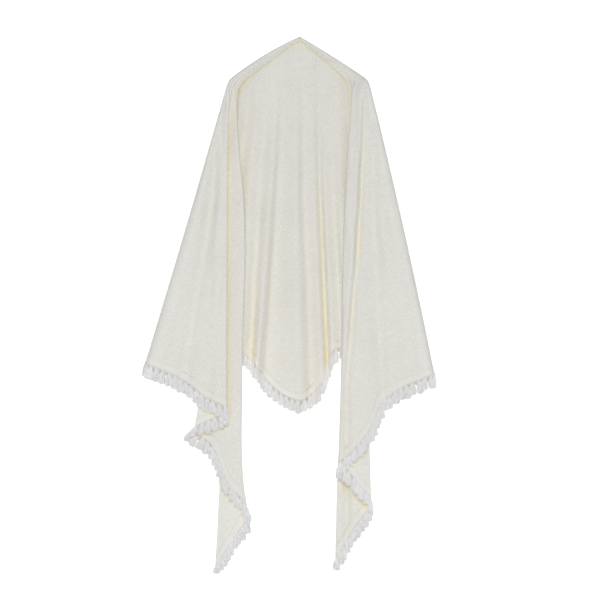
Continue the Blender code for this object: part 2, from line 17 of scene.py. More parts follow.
import bmesh
import bpy
import numpy as np
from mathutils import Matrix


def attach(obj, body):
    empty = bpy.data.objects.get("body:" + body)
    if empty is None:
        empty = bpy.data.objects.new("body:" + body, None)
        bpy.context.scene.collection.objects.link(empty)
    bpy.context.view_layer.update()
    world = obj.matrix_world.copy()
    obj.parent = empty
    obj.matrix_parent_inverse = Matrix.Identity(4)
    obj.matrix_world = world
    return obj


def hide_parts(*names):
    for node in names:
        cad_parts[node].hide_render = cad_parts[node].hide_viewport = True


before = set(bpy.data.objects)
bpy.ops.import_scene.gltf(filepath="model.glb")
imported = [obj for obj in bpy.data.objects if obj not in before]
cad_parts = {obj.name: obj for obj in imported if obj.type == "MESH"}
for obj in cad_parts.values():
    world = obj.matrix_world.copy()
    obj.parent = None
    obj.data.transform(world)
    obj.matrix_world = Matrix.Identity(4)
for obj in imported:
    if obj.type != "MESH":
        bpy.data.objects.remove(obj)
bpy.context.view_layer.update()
print("frame nodes:", sorted(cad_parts))

CM = 0.01

# %% [markdown]
# ## Camera, floor and light
#
# The cloak is seen square on from the front and from far away, as in a catalogue
# picture. A long lens keeps the front layers as large as the back ones. A faint
# white sky lights the cloth from all round. Two small lamps near the line of sight
# light what faces the viewer with hardly a shadow in view. Two at the sides, just
# behind the cloak, keep its outline light, and one lights the back. A pale floor
# lies below the view.

# %% Camera
FRAME_WIDTH = 1.824      # what the picture's width covers at the cloak, in metres
EYE_DISTANCE = 11.0
EYE_HEIGHT = -0.7995

scene = bpy.context.scene


def put(name, data):
    """An object for some data, linked to the scene at the origin."""
    thing = bpy.data.objects.new(name, data)
    scene.collection.objects.link(thing)
    return thing


lens = bpy.data.cameras.new("camera")
lens.sensor_width = 36.0
lens.lens = lens.sensor_width * EYE_DISTANCE / FRAME_WIDTH
lens.clip_end = 100.0
camera = put("camera", lens)
camera.location = (0.0, -EYE_DISTANCE, EYE_HEIGHT)
camera.rotation_euler = (math.pi / 2, 0.0, 0.0)
scene.camera = camera
scene.view_settings.view_transform = "Standard"
print("lens", round(lens.lens, 1), "mm")


# %% Colours and nodes
def linear(hex_colour):
    """Linear colour of an sRGB hex value: the sRGB curve undone for each channel."""
    parts = [int(hex_colour[i:i + 2], 16) / 255 for i in (1, 3, 5)]
    undone = [
        c / 12.92 if c <= 0.04045 else ((c + 0.055) / 1.055) ** 2.4 for c in parts
    ]
    return (*undone, 1.0)


def add(tree, kind, inputs=None, **settings):
    """Adds one node, sets its properties, and fills or links its inputs."""
    node = tree.nodes.new(kind)
    for name, value in settings.items():
        setattr(node, name, value)
    for name, value in (inputs or {}).items():
        if isinstance(value, bpy.types.NodeSocket):
            tree.links.new(value, node.inputs[name])
        else:
            node.inputs[name].default_value = value
    return node


def new_material(name):
    """An empty material and the node tree to build in."""
    material = bpy.data.materials.new(name)
    material.use_nodes = True
    material.node_tree.nodes.clear()
    return material, material.node_tree


# %% Sky, lamps and floor
SKY_LIGHT = 0.17         # what the sky alone gives a surface
FACING_LIGHT = 1.89      # what reaches a surface that faces the front or the back lamp
SIDE_LIGHT = 1.00        # the same for the lamps at the sides
DAYLIGHT = linear("#f8faff")  # a trace of blue, as in open shade
FLOOR_HEIGHT, FLOOR_RADIUS, FLOOR_SIDES = -2.25, 2.2, 96

world = bpy.data.worlds.new("white_sky")
world.use_nodes = True
scene.world = world
sky = world.node_tree
sky.nodes.clear()
white = linear("#ffffff")
seen_sky = add(sky, "ShaderNodeBackground", {"Color": white, "Strength": 1.2})
lit_sky = add(sky, "ShaderNodeBackground", {"Color": DAYLIGHT, "Strength": SKY_LIGHT})
light_path = add(sky, "ShaderNodeLightPath")
sky_mix = add(sky, "ShaderNodeMixShader", {
    0: light_path.outputs["Is Camera Ray"],
    1: lit_sky.outputs[0], 2: seen_sky.outputs[0],
})
add(sky, "ShaderNodeOutputWorld", {"Surface": sky_mix.outputs[0]})


def area_lamp(name, place, aim, size, light):
    """A square lamp at `place` that gives a surface at `aim` that faces it so much
    light: its watts are light times pi times the distance squared."""
    data = bpy.data.lights.new(name, "AREA")
    data.size = size
    data.energy = light * math.pi * math.dist(place, aim) ** 2
    data.color = DAYLIGHT[:3]
    lamp = put(name, data)
    lamp.location = place
    away = np.array(place) - np.array(aim)
    tilt = math.atan2(math.hypot(away[0], away[1]), away[2])
    lamp.rotation_euler = (tilt, 0.0, math.atan2(away[0], -away[1]))


MIDDLE = (0.0, 0.0, -0.8)
area_lamp("front_lamp", (0.0, -11.5, -0.8), MIDDLE, 0.5, 0.57 * FACING_LIGHT)
area_lamp("upper_lamp", (-0.1, -4.5, -0.1), MIDDLE, 0.8, 0.45 * FACING_LIGHT)
area_lamp("back_lamp", (0.3, 9.0, -0.2), MIDDLE, 0.8, FACING_LIGHT)
area_lamp("left_lamp", (-7.0, 0.6, -0.2), MIDDLE, 2.0, SIDE_LIGHT)
area_lamp("right_lamp", (7.0, 0.6, -0.2), MIDDLE, 2.0, SIDE_LIGHT)

turn = np.linspace(0, 2 * math.pi, FLOOR_SIDES, endpoint=False)
rim = np.stack([
    FLOOR_RADIUS * np.cos(turn), FLOOR_RADIUS * np.sin(turn), 0 * turn + FLOOR_HEIGHT,
], -1)
floor_mesh = bpy.data.meshes.new("floor")
floor_mesh.from_pydata(rim.tolist(), [], [list(range(FLOOR_SIDES))])
floor = put("floor", floor_mesh)
floor_material, tree = new_material("pale_studio_floor")
floor_shader = add(tree, "ShaderNodeBsdfPrincipled", {
    "Base Color": linear("#f1f1ef"), "Roughness": 0.9,
})
add(tree, "ShaderNodeOutputMaterial", {"Surface": floor_shader.outputs[0]})
floor_mesh.materials.append(floor_material)
lamps = [o for o in scene.objects if o.type == "LIGHT"]
print("lamps:", {o.name: round(o.data.energy) for o in lamps})

# %% [markdown]
# ## The cloak's outline
#
# Seen from the front, each half has a slope from the neck to the shoulder and a
# nearly straight flank below it. Both are shallow parabolas, and a soft minimum of
# the two rounds the shoulder's corner. Every other line of the cloak is measured
# from this one, so it comes first.

# %% Outline
NECK_DEPTH = 0.7         # how far forward the fronts roll over the neck point
NECK_DROP = 1.1          # and how far down
NECK_BLEND = 2.2         # the neck's quarter turn fades out over this much drop
SHOULDER_DROP = 14.0

Outline = namedtuple("Outline", "sign rise bend start flare bow round")
OUTLINES = {
    "left": Outline(-1, 0.430, 0.00815, 18.03, 0.2786, 0.00013, 0.30),
    "right": Outline(1, 0.586, 0.00230, 17.50, 0.2556, -0.00028, 0.40),
}


def along(levels, values, at):
    """Value at each drop in `at`: a cubic between each two levels, whose slopes
    there are those of the neighbouring levels."""
    levels, values = np.asarray(levels, float), np.asarray(values, float)
    slopes = np.gradient(values, levels)
    k = np.clip(np.searchsorted(levels, at) - 1, 0, len(levels) - 2)
    step = levels[k + 1] - levels[k]
    t = np.clip((at - levels[k]) / step, 0, 1)
    return (
        (2 * t**3 - 3 * t**2 + 1) * values[k]
        + (t**3 - 2 * t**2 + t) * step * slopes[k]
        + (3 * t**2 - 2 * t**3) * values[k + 1]
        + (t**3 - t**2) * step * slopes[k + 1]
    )


def ease(t):
    """0 below 0, 1 above 1, and a smooth S between."""
    t = np.clip(t, 0, 1)
    return t * t * (3 - 2 * t)


def reach(side, drop):
    """Half width at a drop: the mean of slope and flank, less half their distance,
    rounded off, which is a soft minimum of the two."""
    o = OUTLINES[side]
    slope = (np.sqrt(o.rise**2 + 4 * o.bend * drop) - o.rise) / (2 * o.bend)
    flank = o.start + o.flare * drop + o.bow * drop**2
    rounded = (slope + flank) / 2 - np.sqrt(((slope - flank) / 2) ** 2 + o.round**2)
    return np.maximum(rounded, 0)


def drop_at(side, across):
    """Drop at which the outline reaches a distance across, read from a fine table."""
    fine = np.linspace(0, 120, 9601)
    return np.interp(across, reach(side, fine), fine)


def outward(side, drop):
    """Unit direction square to the outline, out of the side fold."""
    widen = (reach(side, drop + 0.05) - reach(side, np.maximum(drop - 0.05, 0))) / 0.1
    sideways = np.full(drop.shape, float(OUTLINES[side].sign))
    normal = np.stack([sideways, 0 * drop, widen], -1)
    return normal / np.linalg.norm(normal, axis=-1)[..., None]


print("at the shoulder", [round(float(reach(s, SHOULDER_DROP)), 1) for s in OUTLINES])

# %% [markdown]
# ## The two fronts
#
# A front turns forward at the side fold and hangs in layers behind one another: an
# outer fall, a return behind it, an inner fall, and on the left a narrow tail. In a
# horizontal cut this is a zigzag. The columns count the zigzag's corners: each corner
# is where a fold line crosses a layer's depth, and a quadratic curve rounds it. On the
# slope the zigzag opens out into one plain strip. Placed one by one, the falls land
# where they should, as a simulation's would not.

# %% Fold lines and layers of the fronts
FOLD_DROPS = (16, 30, 50, 105, 135, 150, 165)
Fold = namedtuple("Fold", "neck slope d16 d30 d50 d105 d135 d150 d165")
FOLDS = {
    "left": {
        "front_turn": Fold(0.86, 0.92, 21.4, 21.8, 22.0, 22.2, 22.2, 22.2, 22.2),
        "hidden_turn": Fold(0.70, 0.82, 20.6, 22.8, 24.6, 29.7, 34.0, 34.5, 35.0),
        "inner_turn": Fold(0.52, 0.74, 19.5, 18.9, 17.1, 17.6, 17.2, 15.2, 14.8),
        "plain_edge": Fold(0.45, 0.69, 18.9, 19.5, 20.3, 23.2, 24.4, 25.1, 26.0),
    },
    "right": {
        "front_turn": Fold(0.80, 0.84, 15.9, 14.9, 13.7, 12.4, 11.6, 11.4, 11.4),
        "hidden_turn": Fold(0.60, 0.76, 15.4, 17.0, 18.2, 20.5, 21.3, 21.7, 22.0),
        "plain_edge": Fold(0.42, 0.68, 14.9, 15.6, 14.9, 13.1, 11.3, 10.9, 10.6),
    },
}
LAYER_DROPS = (0, 8, 16, 50, 105, 165)
Layer = namedtuple("Layer", "d0 d8 d16 d50 d105 d165")
CREST = Layer(0, 0, -0.2, -0.6, -1.0, -1.0)
BACK = Layer(0.7, 1.3, 1.9, 3.4, 4.8, 5.2)
LAYERS = {
    "left": {
        "outer_fall": Layer(-0.7, -1.4, -2.7, -4.7, -6.8, -7.0),
        "return_fold": Layer(-0.7, -1.3, -2.1, -3.8, -5.5, -5.9),
        "inner_fall": Layer(-0.7, -1.2, -1.5, -2.8, -4.0, -4.5),
        "tail_fold": Layer(-0.7, -1.1, -0.9, -1.0, -1.3, -2.0),
    },
    "right": {
        "outer_fall": Layer(-0.7, -1.4, -2.5, -4.5, -6.3, -6.8),
        "return_fold": Layer(-0.7, -1.3, -1.8, -2.9, -4.3, -4.9),
        "inner_fall": Layer(-0.7, -1.2, -1.1, -1.3, -2.3, -3.0),
    },
}
Corner = namedtuple("Corner", "fold layer roll turn_cells run_cells")
CORNERS = {
    "left": (
        Corner("outline", "crest", 0.0, 0, 0),
        Corner("outline", "outer_fall", 4.8, 4, 7),
        Corner("front_turn", "outer_fall", 0.6, 2, 0),
        Corner("front_turn", "return_fold", 0.6, 2, 3),
        Corner("hidden_turn", "return_fold", 1.2, 2, 0),
        Corner("hidden_turn", "inner_fall", 1.4, 2, 6),
        Corner("inner_turn", "inner_fall", 0.6, 2, 0),
        Corner("inner_turn", "tail_fold", 0.6, 2, 4),
        Corner("plain_edge", "tail_fold", 0.0, 0, 0),
    ),
    "right": (
        Corner("outline", "crest", 0.0, 0, 0),
        Corner("outline", "outer_fall", 4.8, 4, 12),
        Corner("front_turn", "outer_fall", 0.7, 2, 0),
        Corner("front_turn", "return_fold", 0.6, 2, 4),
        Corner("hidden_turn", "return_fold", 1.2, 2, 0),
        Corner("hidden_turn", "inner_fall", 1.4, 2, 5),
        Corner("plain_edge", "inner_fall", 0.0, 0, 0),
    ),
}


def fold_across(side, name, drop):
    """Where a fold line lies: a share of the outline above the shoulder, and a
    smooth curve through the table's distances below it."""
    if name == "outline":
        return reach(side, drop)
    fold = FOLDS[side][name]
    level = FOLD_DROPS[0]
    share = np.interp(
        drop, (0, 8, level), (fold.neck, fold.slope, fold.d16 / reach(side, level))
    )
    below = along(FOLD_DROPS, fold[2:], drop)
    return np.where(drop < level, share * reach(side, drop), below)


def layer_depth(side, name, drop):
    """Depth of one layer at each drop."""
    return along(LAYER_DROPS, CREST if name == "crest" else LAYERS[side][name], drop)


PRESSED_TURNS = ("front_turn", "inner_turn")
PRESSED_GAP = 0.70       # between the two layers there, wide enough for the wall


def corner_point(side, k, drop):
    """Corner k of the zigzag: its fold line across, its layer in depth. The turns
    that face the viewer lie nearly flat, so their second corner is close behind."""
    corner, before = CORNERS[side][k], CORNERS[side][k - 1]
    across = fold_across(side, corner.fold, drop)
    depth = layer_depth(side, corner.layer, drop)
    if corner.fold == before.fold and corner.fold in PRESSED_TURNS:
        depth = np.minimum(depth, layer_depth(side, before.layer, drop) + PRESSED_GAP)
    return np.stack([across, depth], -1)


TURN = 0.25          # a corner's rounding takes this much of s on each side of it
LONGEST_ROLL = 0.36  # and at most this share of a run's length


def turn_ends(side, k, drop):
    """A corner, and where its rounding starts and ends on the two runs."""
    here = corner_point(side, k, drop)
    ends = []
    for step in (-1, 1):
        other = corner_point(side, k + step, drop)
        length = np.linalg.norm(other - here, axis=-1) + 1e-9
        roll = np.minimum(CORNERS[side][k].roll, length * LONGEST_ROLL)
        cut = length if k + step == 0 else roll
        ends.append(here + (other - here) * (cut / length)[..., None])
    return here, ends[0], ends[1]


def front_section(side, s, drop):
    """Across and depth on the zigzag: a quadratic curve (1-u)^2 start + 2u(1-u)
    corner + u^2 end near each corner, and a straight run between two of them."""
    count = len(CORNERS[side])
    point = np.zeros(drop.shape + (2,))
    for k in range(1, count - 1):
        here, start, end = turn_ends(side, k, drop)
        u = ((s - k + TURN) / (2 * TURN))[..., None]
        turned = (1 - u) ** 2 * start + 2 * u * (1 - u) * here + u**2 * end
        point = np.where((np.abs(s - k) <= TURN)[..., None], turned, point)
        if k == count - 2:
            after, span = corner_point(side, k + 1, drop), 1 - TURN
        else:
            after, span = turn_ends(side, k + 1, drop)[1], 1 - 2 * TURN
        f = ((s - k - TURN) / span)[..., None]
        inside = (s > k + TURN) & (s < k + TURN + span + 1e-9)
        point = np.where(inside[..., None], end + (after - end) * f, point)
    return point


print("corners:", {side: len(CORNERS[side]) for side in CORNERS})

# %% [markdown]
# ## Creases
#
# Cloth that hangs from a slope keeps soft ridges and troughs that fan out towards
# the hem. The large ones are placed one by one, because the eye follows them: each
# is a bell curve across, whose middle runs along a line. The small ones are a few
# waves of mixed length whose height wanders, so no two are alike. They are real
# shape, not bump, so they show in the light and in the outline.

# %% Swells and ripples
STRIP_ROLL = 0.22        # share of the strip's width that rolls over the crest
STRIP_END = 7.0          # drop at which the strip starts to part into folds
STRIP_GAP = 0.9          # between the strip's plain edge and the back behind it
FOLDS_START = 17.0       # and at which the folds are whole
CREASED_FROM, CREASED_TO = 0.8, 6.6  # values of s between which the creases show

Swell = namedtuple("Swell", "side d16 d50 d105 depth width")
SWELLS = (
    Swell("left", 23.2, 24.4, 25.2, -0.6, 1.6),
    Swell("left", 23.9, 26.8, 35.4, 1.0, 2.2),
    Swell("left", 25.6, 29.8, 40.2, -0.7, 2.4),
    Swell("right", 18.4, 16.9, 12.8, -0.5, 0.8),
    Swell("right", 19.8, 18.4, 14.1, 1.1, 1.1),
    Swell("right", 15.2, 12.9, 11.5, 0.9, 1.6),
    Swell("right", 22.4, 22.3, 24.8, 0.9, 1.9),
    Swell("right", 23.0, 25.8, 31.4, -0.7, 2.6),
)
Ripple = namedtuple("Ripple", "waves tilt wander phase height")
RIPPLES = (
    Ripple(8.5, 0.006, 0.021, 0.4, 0.13),
    Ripple(13.7, -0.010, 0.034, 2.1, 0.10),
    Ripple(21.3, 0.016, 0.052, 4.4, 0.06),
    Ripple(34.1, -0.021, 0.083, 1.2, 0.03),
)
LAYER_SHIFT = 1.7        # phase of the ripples gained from one layer to the next


def swell_depth(side, s, across, drop):
    """Depth of the large creases: a bell exp(-(distance / width)^2) for each."""
    on_fall = np.clip((s - CREASED_FROM) / 0.3, 0, 1)
    on_fall = on_fall * np.clip((CREASED_TO - s) / 0.6, 0, 1)
    growth = np.clip((drop - SHOULDER_DROP + 1) / 26, 0, 1) ** 0.7
    total = 0
    for swell in SWELLS:
        if swell.side == side:
            middle = along((16, 50, 105), swell[1:4], drop)
            width = swell.width * (0.4 + 0.6 * growth)
            total = total + swell.depth * np.exp(-(((across - middle) / width) ** 2))
    return total * growth * on_fall


def ripple_depth(fan, drop, shift):
    """Depth of the small creases: sines of the fan coordinate, each slanted a
    little and faded in and out by a slow sine of the drop and the fan."""
    total = 0
    for r in RIPPLES:
        fade = 0.55 + 0.45 * np.sin(r.wander * drop * 2 + 3 * fan + r.phase * 2 + shift)
        total = total + r.height * fade * np.sin(
            r.waves * fan * math.pi + r.tilt * drop * math.pi + r.phase + shift
        )
    return total * ease((drop - 10) / 45)


def slope_strip(side, s, drop):
    """Across and depth of the plain strip over the slope: it rolls over the crest
    as a quarter of an ellipse and then lies nearly flat."""
    corners = CORNERS[side]
    share = (s - 1 + TURN) / (len(corners) - 2 + TURN)
    outer, edge = reach(side, drop), fold_across(side, "plain_edge", drop)
    front = layer_depth(side, corners[1].layer, drop)
    inner = layer_depth(side, corners[-1].layer, drop)
    crest = layer_depth(side, "crest", drop)
    rounding = np.sqrt(1 - (1 - np.clip(share / STRIP_ROLL, 0, 1)) ** 2)
    depth = crest + (front + (inner - front) * share - crest) * rounding
    settled = along(LAYER_DROPS, BACK, drop) - STRIP_GAP - inner
    depth = depth + settled * share
    return outer + (edge - outer) * share, depth


def front_points(side, s, drop):
    """Points of a front: the zigzag with its creases below the shoulder, the plain
    strip on the slope, an S-shaped blend between, and the quarter turn at the neck."""
    section = front_section(side, s, drop)
    across, depth = section[..., 0], section[..., 1]
    away = ease((s - CREASED_FROM) / 0.5)
    fan = across / (18 + 0.25 * drop)
    depth = depth + swell_depth(side, s, across, drop)
    shift = OUTLINES[side].sign + LAYER_SHIFT * s
    depth = depth + ripple_depth(fan, drop, shift) * away
    strip_across, strip_depth = slope_strip(side, s, drop)
    folded = ease((drop - STRIP_END) / (FOLDS_START - STRIP_END))
    across = strip_across + (across - strip_across) * folded
    depth = strip_depth + (depth - strip_depth) * folded
    share = (s - 1 + TURN) / (len(CORNERS[side]) - 2 + TURN)
    turned = share * math.pi / 2
    near = np.clip(1 - drop / NECK_BLEND, 0, 1)
    _, at_neck = slope_strip(side, s, 0 * drop)
    depth = depth + (-NECK_DEPTH * np.sin(turned) - at_neck) * near
    height = -drop - NECK_DROP * (1 - np.cos(turned)) * near
    return np.stack([OUTLINES[side].sign * across, depth, height], -1)


print("large creases:", len(SWELLS), "ripples:", len(RIPPLES))

# %% [markdown]
# ## The back
#
# The back hangs from the two slopes in one piece. Its ridges and troughs start
# under the slopes and fan out, deeper towards the hem, with the deepest pleat
# right of the middle. Each fold has a line of its own across and a height, and
# half a cosine wave joins one fold to the next.

# %% Folds of the back
BackFold = namedtuple("BackFold", "name on_slope d50 d105 height")
BACK_FOLDS = (
    BackFold("left_swell_5", -18.9, -27.6, -40.4, -1.6),
    BackFold("left_trough_4", -17.2, -24.8, -35.6, 2.2),
    BackFold("left_swell_4", -15.6, -22.0, -30.2, -2.0),
    BackFold("left_trough_3", -13.8, -19.2, -24.6, 1.1),
    BackFold("left_swell_3", -12.0, -15.4, -18.6, -1.2),
    BackFold("left_trough_2", -9.4, -12.5, -15.4, 0.7),
    BackFold("left_swell_1", -6.2, -8.9, -13.6, -1.6),
    BackFold("left_trough_1", -4.2, -6.8, -10.8, 0.9),
    BackFold("middle_swell", -1.4, -0.9, -0.2, -1.7),
    BackFold("right_trough_1", 0.8, 1.7, 4.0, 0.5),
    BackFold("right_swell_1", 3.6, 4.7, 6.9, -0.9),
    BackFold("deep_pleat", 5.2, 6.3, 8.7, 0.8),
    BackFold("right_swell_2", 6.8, 7.9, 10.5, -0.9),
    BackFold("right_trough_3", 9.0, 10.6, 13.2, 0.2),
    BackFold("right_swell_3", 11.2, 12.4, 15.4, -1.3),
    BackFold("right_trough_4", 14.2, 16.8, 20.4, 1.5),
    BackFold("right_swell_4", 15.8, 20.0, 25.6, -2.0),
    BackFold("right_trough_5", 17.4, 22.8, 30.6, 2.2),
    BackFold("right_swell_5", 18.8, 25.2, 35.2, -1.6),
)
LAST_FOLD = len(BACK_FOLDS) + 1


def back_fold_across(index, drop):
    """Where a fold line of the back lies; the first and last are the side folds."""
    if index == 0:
        return -reach("left", drop)
    if index == LAST_FOLD:
        return reach("right", drop)
    fold = BACK_FOLDS[index - 1]
    below = fold.d105 + (fold.d105 - fold.d50) * 60 / 55
    return along((0, 50, 105, 165), (fold.on_slope, fold.d50, fold.d105, below), drop)


def back_points(s, drop):
    """Points of the back: the base depth, the folds' heights growing with the drop,
    the ripples, and a quarter ellipse that brings it to the crest at the outline."""
    across, height = np.zeros(drop.shape), np.zeros(drop.shape)
    heights = [0.0] + [fold.height for fold in BACK_FOLDS] + [0.0]
    for k in range(LAST_FOLD):
        inside = (s >= k) & (s <= k + 1)
        f = np.clip(s - k, 0, 1)
        low, high = back_fold_across(k, drop), back_fold_across(k + 1, drop)
        wave = (1 - np.cos(np.pi * f)) / 2
        across = np.where(inside, low + (high - low) * f, across)
        between = heights[k] + (heights[k + 1] - heights[k]) * wave
        height = np.where(inside, between, height)
    growth = np.clip((drop - SHOULDER_DROP) / (105 - SHOULDER_DROP), 0, 1.1) ** 0.65
    ripple = ripple_depth(across / (18 + 0.25 * drop), drop, 0.0)
    depth = along(LAYER_DROPS, BACK, drop) + height * growth + ripple
    crest = along(LAYER_DROPS, CREST, drop)
    from_left, from_right = reach("left", drop) + across, reach("right", drop) - across
    edge = np.where(across < 0, from_left, from_right)
    t = np.clip(edge / (1.6 + 0.03 * drop), 0, 1)
    depth = crest + (depth - crest) * np.sqrt(1 - (1 - t) ** 2)
    return np.stack([across, depth, -drop], -1)


print("folds of the back:", len(BACK_FOLDS))

# %% [markdown]
# ## The hem line
#
# The hem climbs and falls from layer to layer. Its points are given where the eye
# meets them, each on one layer, and are turned into values of s, so the tape and
# the cloth share one line. The tape keeps its width square to the hem: where the
# hem is steep it takes more of the drop, by one over the cosine of the slope.

# %% Hem
TAPE_WIDTH = 1.7
STEEPEST_HEM = 0.34
CELLS_PER_FOLD = 3
HemPoint = namedtuple("HemPoint", "layer across drop")
FRONT_HEM = {
    "left": (
        HemPoint("outer_fall", 43.1, 100.1), HemPoint("outer_fall", 38.0, 102.4),
        HemPoint("outer_fall", 34.7, 104.3), HemPoint("outer_fall", 31.4, 106.7),
        HemPoint("outer_fall", 28.8, 109.0), HemPoint("outer_fall", 22.8, 111.9),
        HemPoint("return_fold", 22.6, 113.8), HemPoint("return_fold", 26.3, 115.6),
        HemPoint("return_fold", 30.3, 117.4), HemPoint("inner_fall", 32.2, 120.2),
        HemPoint("inner_fall", 29.3, 121.4), HemPoint("inner_fall", 26.8, 123.6),
        HemPoint("inner_fall", 25.2, 126.0), HemPoint("inner_fall", 23.6, 131.6),
        HemPoint("inner_fall", 21.9, 135.0), HemPoint("inner_fall", 19.1, 139.2),
        HemPoint("inner_fall", 16.3, 143.0), HemPoint("tail_fold", 16.2, 146.6),
        HemPoint("tail_fold", 18.2, 149.0), HemPoint("tail_fold", 20.1, 152.0),
        HemPoint("tail_fold", 22.2, 154.8), HemPoint("tail_fold", 23.4, 157.6),
        HemPoint("tail_fold", 25.6, 161.0),
    ),
    "right": (
        HemPoint("outer_fall", 37.9, 103.0), HemPoint("outer_fall", 34.8, 104.4),
        HemPoint("outer_fall", 30.0, 106.5), HemPoint("outer_fall", 28.0, 107.9),
        HemPoint("outer_fall", 25.2, 109.9), HemPoint("outer_fall", 23.7, 112.6),
        HemPoint("outer_fall", 21.6, 118.3), HemPoint("outer_fall", 18.4, 122.8),
        HemPoint("outer_fall", 15.2, 126.1), HemPoint("outer_fall", 12.4, 128.8),
        HemPoint("return_fold", 12.4, 130.0), HemPoint("return_fold", 16.0, 133.0),
        HemPoint("return_fold", 18.8, 136.8), HemPoint("return_fold", 20.5, 139.2),
        HemPoint("inner_fall", 20.9, 141.4), HemPoint("inner_fall", 18.8, 145.8),
        HemPoint("inner_fall", 15.8, 149.7), HemPoint("inner_fall", 12.9, 155.0),
        HemPoint("inner_fall", 10.8, 158.6),
    ),
}
SIDE_HEM_DROP = {"left": 98.6, "right": 101.8}
BACK_HEM = (
    (-38.0, 97.6), (-28.9, 96.0), (-20.7, 94.8), (-17.6, 95.4), (-15.4, 97.4),
    (-13.2, 100.2), (-10.6, 103.8), (-8.0, 106.6), (-4.8, 109.0), (-0.4, 110.6),
    (2.0, 109.8), (4.2, 107.8), (6.0, 105.8), (7.3, 103.2), (8.5, 99.4), (9.9, 95.4),
    (12.8, 93.9), (19.8, 95.0), (28.9, 98.0), (36.5, 100.4),
)


def coarse_columns(side):
    """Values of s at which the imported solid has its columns."""
    if side == "back":
        steps = LAST_FOLD * CELLS_PER_FOLD
        return np.arange(steps + 1) / CELLS_PER_FOLD
    corners = CORNERS[side]
    columns = [1 - TURN]
    for k in range(1, len(corners) - 1):
        cells, runs = corners[k].turn_cells, corners[k].run_cells
        columns += [k - TURN + 2 * TURN * i / cells for i in range(1, cells + 1)]
        span = 1 - TURN if k == len(corners) - 2 else 1 - 2 * TURN
        columns += [k + TURN + span * i / runs for i in range(1, runs + 1)]
    return np.array(columns)


def front_hem(side, s):
    """Drop of the tape's lower edge: straight in s between the table's points."""
    layers = [c.layer for c in CORNERS[side]]
    known_s, known_drop = [1 - TURN], [SIDE_HEM_DROP[side]]
    for point in FRONT_HEM[side]:
        k = layers.index(point.layer)
        fine = np.linspace(k, min(k + 1, len(layers) - 1), 101)
        across = front_section(side, fine, np.full(fine.shape, point.drop))[:, 0]
        order = np.argsort(across)
        known_s.append(float(np.interp(point.across, across[order], fine[order])))
        known_drop.append(point.drop)
    return np.interp(s, known_s, known_drop)


def back_hem(s):
    """Drop of the tape's lower edge on the back, straight in s between points."""
    known_s, known_drop = [0.0], [SIDE_HEM_DROP["left"]]
    for across, drop in BACK_HEM:
        level = np.array(float(drop))
        lines = [float(back_fold_across(k, level)) for k in range(LAST_FOLD + 1)]
        known_s.append(float(np.interp(across, lines, range(LAST_FOLD + 1))))
        known_drop.append(drop)
    known_s.append(float(LAST_FOLD))
    known_drop.append(SIDE_HEM_DROP["right"])
    return np.interp(s, known_s, known_drop)


def hem_lines(side):
    """Drops of the tape's lower and upper edges at the solid's own columns."""
    s = coarse_columns(side)
    low = back_hem(s) if side == "back" else front_hem(side, s)
    points = back_points(s, low) if side == "back" else front_points(side, s, low)
    step = np.gradient(points, axis=0)
    cosine = np.hypot(step[:, 0], step[:, 1]) / (np.linalg.norm(step, axis=1) + 1e-9)
    padded = np.pad(cosine, 1, mode="edge")
    cosine = np.maximum((padded[:-2] + 2 * cosine + padded[2:]) / 4, STEEPEST_HEM)
    top = low - TAPE_WIDTH / cosine
    if side == "back":
        top[[0, -1]] = low[[0, -1]] - TAPE_WIDTH
    else:
        top[0] = low[0] - TAPE_WIDTH
    return s, low, top


HEMS = {side: hem_lines(side) for side in ("left", "right", "back")}
print("hem columns:", {side: len(HEMS[side][0]) for side in HEMS})

# %% [markdown]
# ## The cloth
#
# The two fronts and the back are three grids of one sheet. The back's columns end
# at the slopes, and the drops where they end are the fronts' first rows, so the
# grids share every point along the slopes and the side folds and merge there.
# A wall gives the sheet its thickness, as a soft weave has.

# %% Grid of the cloth
CLOTH_WALL = 0.16
FRONT_COLUMNS = 112
CORNER_SHARE = 3.5       # centimetres that one corner counts for
EVEN_AT = 90.0           # drop at which the columns are spaced
CELLS_A_FOLD = 6
TUCK = 0.5               # how far the cloth's edge reaches into the tape

# rows of the fall, closer together below the shoulder
FALL_SHARES = np.concatenate([
    0.08 * np.linspace(0, 1, 21)[:-1] ** 2, np.linspace(0.08, 1, 66),
])


def even_columns(side, count):
    """Values of s whose points lie evenly apart on the zigzag at one drop, with some
    length added for each corner so that the turns get cells of their own."""
    fine = np.linspace(1 - TURN, len(CORNERS[side]) - 1, 3001)
    place = front_section(side, fine, np.full(fine.shape, EVEN_AT))
    step = np.linalg.norm(np.diff(place, axis=0), axis=1) + CORNER_SHARE * np.diff(fine)
    length = np.concatenate([[0], np.cumsum(step)])
    return np.interp(np.linspace(0, length[-1], count), length, fine)


def back_grid():
    """Columns of the back, the drops where they meet the slopes, and the middle."""
    before = next(k for k, f in enumerate(BACK_FOLDS) if f.on_slope > 0)
    low, high = BACK_FOLDS[before - 1].on_slope, BACK_FOLDS[before].on_slope
    middle = before + (0 - low) / (high - low)
    after = LAST_FOLD - middle
    left = np.linspace(0, middle, round(middle * CELLS_A_FOLD) + 1)
    right = np.linspace(middle, LAST_FOLD, round(after * CELLS_A_FOLD) + 1)
    s = np.concatenate([left, right[1:]])
    top = np.zeros(len(s))
    for _ in range(60):
        across = back_points(s, top)[:, 0]
        top = np.where(across < 0, drop_at("left", -across), drop_at("right", across))
    inner = (s >= 1) & (s <= LAST_FOLD - 1)
    top = np.interp(
        s, np.concatenate([[0], s[inner], [LAST_FOLD]]),
        np.concatenate([[SHOULDER_DROP], top[inner], [SHOULDER_DROP]]),
    )
    top[len(left) - 1] = 0.0
    return s, top, len(left) - 1


BACK_S, BACK_TOP, NECK = back_grid()


